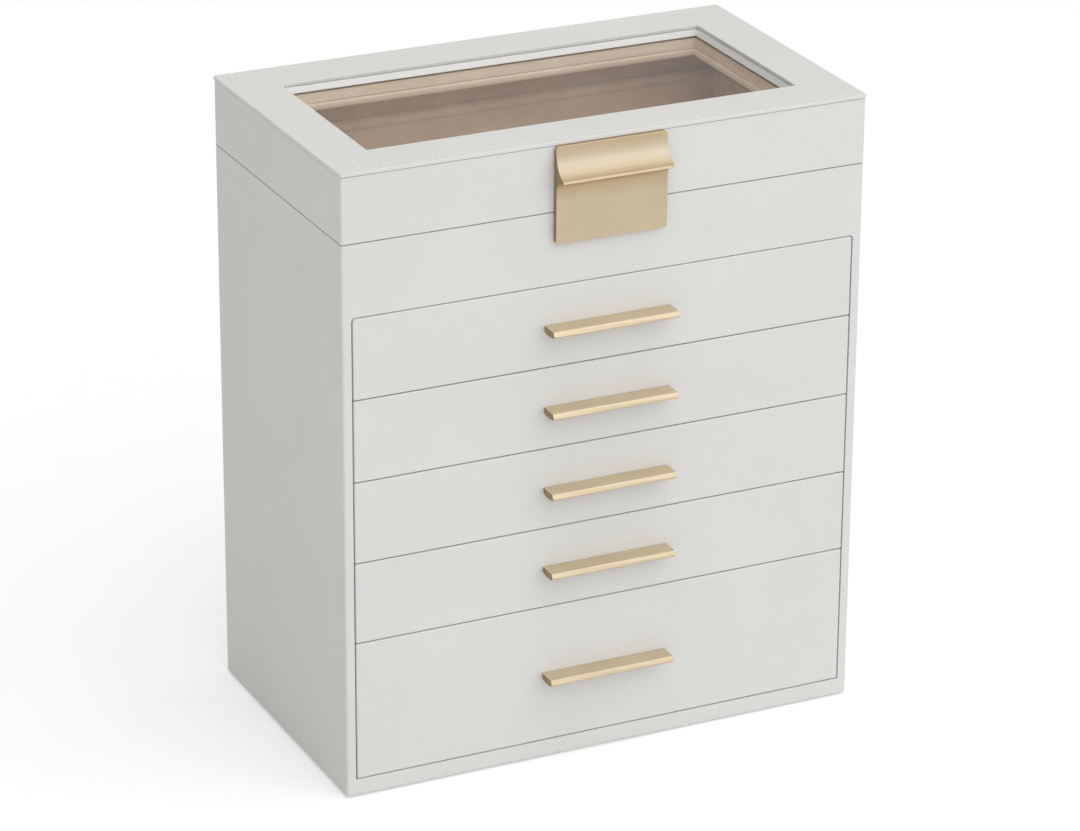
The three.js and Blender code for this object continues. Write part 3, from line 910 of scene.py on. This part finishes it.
def clasp_section(reach, height):
    """The clasp from the side: a plate, and a lip that a hollow runs down to and another runs back from."""
    plate, lip, lip_drop = CLASP_PLATE, CLASP_LIP, CLASP_LIP_DROP
    shoulder = (-plate * 0.75, 0.0)
    tip = (-reach + 0.45 * lip, -lip_drop)
    tip_under = (-reach, -lip_drop - lip)
    root = (-plate, -CLASP_UNDERCUT)
    section = [(0.0, 0.0), shoulder]
    section += bend(shoulder, (-plate * 0.8, -lip_drop * 0.83), tip)
    section += [tip_under]
    section += bend(tip_under, (-plate - 0.4 * MM, -lip_drop - 1.6 * MM), root)
    section += [(-plate, -height), (0.0, -height)]
    return section


def clasp_painted_light(top):
    """Painted light on the clasp by height: painted shade under the lip and just above it, a painted
    highlight on the lip's edge, and a pale, cooler painted highlight in the hollow above.
    """
    lip_z = top - CLASP_LIP_DROP - 0.7 * CLASP_LIP
    return (
        (lip_z - 12.0 * MM, (255, 255, 255)),
        (lip_z - 5.0 * MM, (241, 233, 220)),
        (lip_z - 1.0 * MM, (208, 187, 150)),
        (lip_z, (238, 233, 226)),
        (lip_z + 2.0 * MM, (225, 220, 216)),
        (lip_z + 7.0 * MM, (236, 243, 255)),
        (top, (246, 240, 230)),
    )


def make_clasp():
    """The gold clasp, with the pocket for its magnet."""
    low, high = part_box("clasp_pull")
    section = clasp_section(high.y - low.y, high.z - low.z)
    placed = [(high.y + y, high.z + z) for y, z in section]
    clasp = object_of("clasp_pull_gold", prism(placed, low.x, high.x, "x"))
    face = rounded_outline((low.x, low.z), (high.x, high.z), [CLASP_CORNER] * 4)
    combine(clasp, "INTERSECT", prism(face, low.y - PAST, high.y + PAST, "y"))
    magnet_low, magnet_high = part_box("clasp_magnet")
    middle = (magnet_low + magnet_high) / 2
    radius = (magnet_high.z - magnet_low.z) / 2 + MAGNET_ROOM
    pocket = ring_outline((middle.x, middle.z), radius, 32)
    combine(clasp, "DIFFERENCE", prism(pocket, magnet_low.y - MAGNET_ROOM, high.y + PAST, "y"))
    round_edges(clasp, GOLD_EDGE, 3, SHARP_GOLD)
    settle(clasp)
    # The clasp's plating carries painted shade under the lip and a painted highlight in its hollow, by
    # height.
    plating = gold("champagne_gold_clasp", painted_light_by_height=clasp_painted_light(high.z))
    dress(clasp, plating, "champagne_gold", "lid", "clasp_pull")
    paint_shade_on_ends(clasp)
    keep_node("clasp_magnet", STEEL, MAGNET_EDGE)


def pull_section(reach):
    """A pull from the side: flat on top, a short upright nose and a round belly."""
    nose, thickness = PULL_NOSE, PULL_THICKNESS
    brow = (-reach + nose, 0.0)
    lower = (-reach, -thickness * 0.8)
    chin = (-reach + nose * 0.6, -thickness - 0.1 * MM)
    section = [(0.0, 0.0), brow, lower]
    section += bend(lower, (-reach, -thickness), chin, 5)
    section += bend(chin, (-reach * 0.5, -thickness - PULL_BELLY), (0.0, -thickness), 12)
    return section


def make_pull(number):
    """A drawer's gold pull."""
    node = f"drawer_{number}_handle"
    low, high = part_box(node)
    placed = [(high.y + y, high.z + z) for y, z in pull_section(high.y - low.y)]
    pull = object_of(f"drawer_{number}_pull_gold", prism(placed, low.x, high.x, "x"))
    radii = [PULL_CORNER, PULL_CORNER, SMALL, SMALL]
    plan = rounded_outline((low.x, low.y), (high.x, high.y + PAST), radii)
    combine(pull, "INTERSECT", prism(plan, low.z - PAST, high.z + PAST, "z"))
    round_edges(pull, GOLD_EDGE, 3, SHARP_GOLD)
    settle(pull)
    dress(pull, GOLD, "champagne_gold", f"drawer_{number}", node)
    paint_shade_on_ends(pull)


# ---- Drawers -----------------------------------------------------------------------------------------
LOWEST_DRAWER = 5
FRONT_CORNER = SMALL * 2
TOP_FRONT_CORNER = OPENING_CORNER - FRONT_CORNER


def make_drawer(number):
    """A drawer's wrapped front with its pull, and its tray, lining and screws."""
    body = f"drawer_{number}"
    low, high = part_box(f"{body}_front")
    top_corner = TOP_FRONT_CORNER if number == 1 else FRONT_CORNER
    radii = [FRONT_CORNER, FRONT_CORNER, top_corner, top_corner]
    down = FRONT_GROWTH_DOWN if number == LOWEST_DRAWER else FRONT_GROWTH
    up = -TOP_SHRINKAGE if number == 1 else FRONT_GROWTH
    face_low = (low.x - FRONT_GROWTH_LEFT, low.z - down)
    face_high = (high.x + FRONT_GROWTH_RIGHT, high.z + up)
    outline = rounded_outline(face_low, face_high, radii)
    front = object_of(f"{body}_front_wrap", prism(outline, low.y, high.y, "y"))
    round_edges(front, FRONT_EDGE, 5)
    dress(front, LEATHERETTE, "leatherette", body, f"{body}_front")
    make_pull(number)
    keep_node(f"{body}_tray", BOARD, TRAY_EDGE)
    keep_node(f"{body}_lining", VELVET, LINING_EDGE, 3)
    for side in ("left", "right"):
        keep_node(f"{body}_handle_screw_{side}", STEEL, STEEL_EDGE)


# ---- Stage, light and camera -------------------------------------------------------------------------
def sun(name, heading, strength, spread):
    """A soft, very wide sun, which lights the whole stage evenly."""
    data = bpy.data.lights.new(name, "SUN")
    data.energy = strength
    data.angle = math.radians(spread)
    lamp = bpy.data.objects.new(name, data)
    bpy.context.scene.collection.objects.link(lamp)
    lamp.rotation_euler = Vector(heading).to_track_quat("-Z", "Y").to_euler()
    return lamp


def soft_box(name, place, target, side, power):
    """A square lamp that looks at a point."""
    data = bpy.data.lights.new(name, "AREA")
    data.size = side
    data.energy = power
    lamp = bpy.data.objects.new(name, data)
    bpy.context.scene.collection.objects.link(lamp)
    lamp.location = place
    heading = Vector(target) - Vector(place)
    lamp.rotation_euler = heading.to_track_quat("-Z", "Y").to_euler()
    return lamp


FLOOR_REACH = 14.0
FLOOR_DEPTH = 0.02


def make_stage():
    """The pale floor, which looks paler to the camera than it is to the light."""
    bm = brick((-FLOOR_REACH, -FLOOR_REACH, -FLOOR_DEPTH), (FLOOR_REACH, FLOOR_REACH, 0.0))
    floor = object_of("studio_floor", bm)
    look = Look("pale_floor", Roughness=0.9, Specular_IOR_Level=0.0)
    grain = look.noise(40.0, 2.0)
    look.link(look.ramp(grain, (0.0, (0.79, 0.79, 0.79)), (1.0, (0.81, 0.81, 0.81))), "Base Color")
    look.shader.inputs["Emission Color"].default_value = WHITE
    seen = look.node("ShaderNodeLightPath").outputs["Is Camera Ray"]
    look.link(look.band(seen, 0.0, FLOOR_GLOW), "Emission Strength")
    floor.data.materials.append(look.material)


def make_world():
    """Even light from all round, with a plain white background behind the object."""
    world = bpy.data.worlds.new("studio")
    bpy.context.scene.world = world
    world.use_nodes = True
    tree = world.node_tree
    background = next(n for n in tree.nodes if n.type == "BACKGROUND")
    seen = tree.nodes.new("ShaderNodeLightPath")
    strength = tree.nodes.new("ShaderNodeMapRange")
    tree.links.new(seen.outputs["Is Camera Ray"], strength.inputs["Value"])
    strength.inputs["To Min"].default_value = SKY_LIGHT
    strength.inputs["To Max"].default_value = 1.0
    tree.links.new(strength.outputs["Result"], background.inputs["Strength"])
    colour = tree.nodes.new("ShaderNodeMix")
    colour.data_type = "RGBA"
    tints = [s for s in colour.inputs if s.type == "RGBA"]
    tints[0].default_value = SKY_TINT
    tints[1].default_value = WHITE
    tree.links.new(seen.outputs["Is Camera Ray"], colour.inputs[0])
    tree.links.new(next(s for s in colour.outputs if s.type == "RGBA"), background.inputs["Color"])


def make_camera():
    """The camera, aimed at the object from the front left and above."""
    azimuth, elevation = math.radians(CAMERA_AZIMUTH), math.radians(CAMERA_ELEVATION)
    back = Vector((
        math.sin(azimuth) * math.cos(elevation),
        -math.cos(azimuth) * math.cos(elevation),
        math.sin(elevation),
    ))
    data = bpy.data.cameras.new("camera")
    data.lens = CAMERA_LENS
    camera = bpy.data.objects.new("camera", data)
    bpy.context.scene.collection.objects.link(camera)
    camera.location = CAMERA_AIM + back * CAMERA_DISTANCE
    level = (-back).to_track_quat("-Z", "Y").to_matrix().to_4x4()
    camera.rotation_euler = (level @ Matrix.Rotation(math.radians(CAMERA_ROLL), 4, "Z")).to_euler()
    bpy.context.scene.camera = camera


def make_studio():
    """Floor, background, lamps and camera."""
    make_stage()
    make_world()
    sun("key", KEY_HEADING, KEY_LIGHT, KEY_SPREAD)
    soft_box("box", SOFT_BOX_PLACE, SOFT_BOX_AIM, SOFT_BOX_SIDE, SOFT_BOX_POWER)
    scene = bpy.context.scene
    scene.view_settings.view_transform = "Standard"
    make_camera()


make_case()
dress_case_boards()
make_compartment()
make_ring_rolls()
make_hinges()
make_lid_walls()
make_lid_top()
make_window()
make_clasp()
for drawer in range(1, LOWEST_DRAWER + 1):
    make_drawer(drawer)
make_studio()
